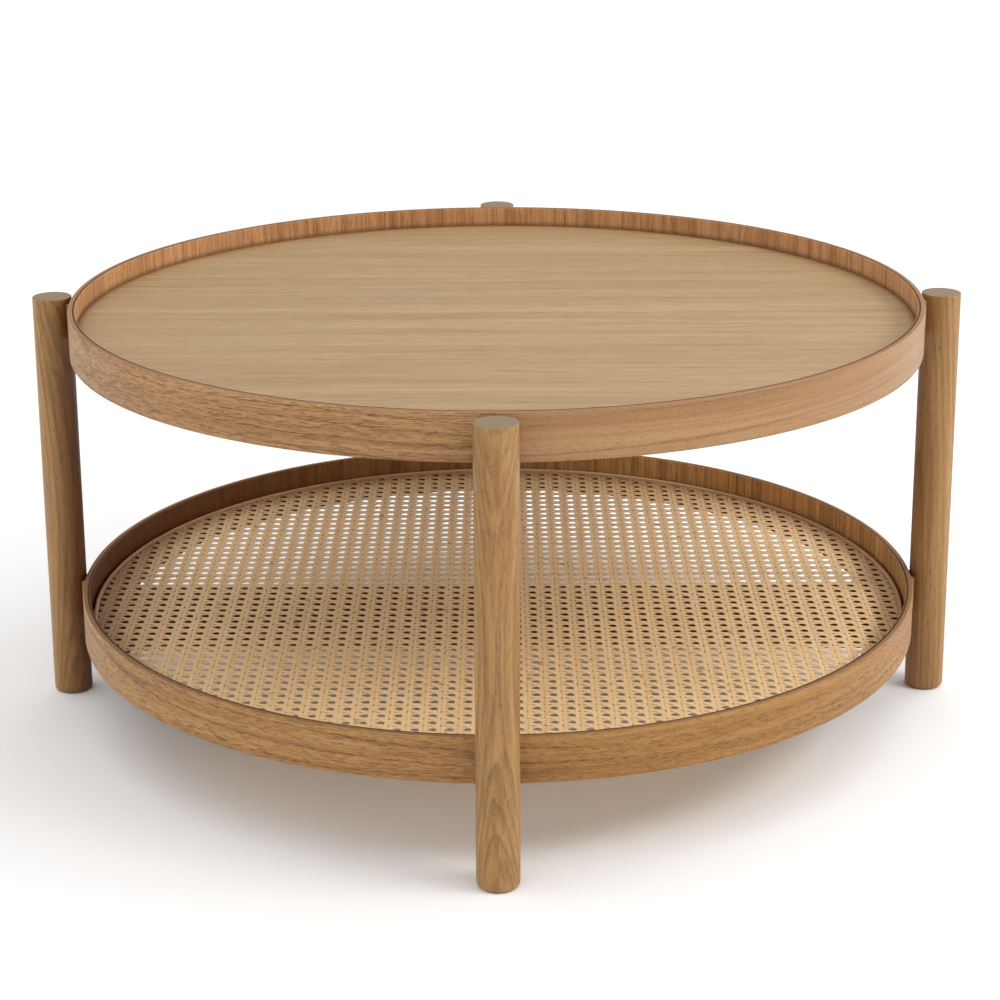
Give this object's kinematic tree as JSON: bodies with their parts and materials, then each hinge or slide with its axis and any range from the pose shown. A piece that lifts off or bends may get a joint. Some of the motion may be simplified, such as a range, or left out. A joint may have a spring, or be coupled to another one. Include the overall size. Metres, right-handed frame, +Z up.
{
  "type": "coffee table",
  "caption": "Round two-tier wooden coffee table: a rimmed veneered top over a rimmed shelf of woven cane, carried on dowel legs outside the trays.",
  "frame": {"origin": "on the floor, under the table's centre", "axes": "+Z up; -Y towards the front leg; +X towards the right leg, along the top panel's grain and the cross-boards"},
  "size_m": [0.9094, 0.9094, 0.414],
  "materials": {
    "band_wood": "satin lacquer on bent oak-type veneer",
    "panel_veneer": "satin lacquer on straight-grained pale veneer",
    "cane": "natural woven rattan cane",
    "hoop_wood": "satin",
    "frame_plywood": "matt, dark-stained plywood",
    "leg_wood": "satin lacquer on solid oak-type dowel",
    "spacer_wood": "satin",
    "bolt_steel": "zinc-plated",
    "insert_brass": "plain"
  },
  "bodies": {
    "root": {"bolt_lower_back": "bolt_steel", "bolt_lower_front": "bolt_steel", "bolt_lower_left": "bolt_steel", "bolt_lower_right": "bolt_steel", "bolt_top_back": "bolt_steel", "bolt_top_front": "bolt_steel", "bolt_top_left": "bolt_steel", "bolt_top_right": "bolt_steel", "cane_retaining_hoop": "hoop_wood", "cane_webbing": "cane", "insert_lower_back": "insert_brass", "insert_lower_front": "insert_brass", "insert_lower_left": "insert_brass", "insert_lower_right": "insert_brass", "insert_top_back": "insert_brass", "insert_top_front": "insert_brass", "insert_top_left": "insert_brass", "insert_top_right": "insert_brass", "leg_back": "leg_wood", "leg_front": "leg_wood", "leg_left": "leg_wood", "leg_right": "leg_wood", "lower_cross_board": "frame_plywood", "lower_support_ring": "frame_plywood", "lower_tray_band": "band_wood", "spacer_lower_back": "spacer_wood", "spacer_lower_front": "spacer_wood", "spacer_lower_left": "spacer_wood", "spacer_lower_right": "spacer_wood", "spacer_top_back": "spacer_wood", "spacer_top_front": "spacer_wood", "spacer_top_left": "spacer_wood", "spacer_top_right": "spacer_wood", "top_cross_board": "frame_plywood", "top_support_ring": "frame_plywood", "top_tray_band": "band_wood", "top_tray_panel": "panel_veneer"}
  },
  "joints": []
}
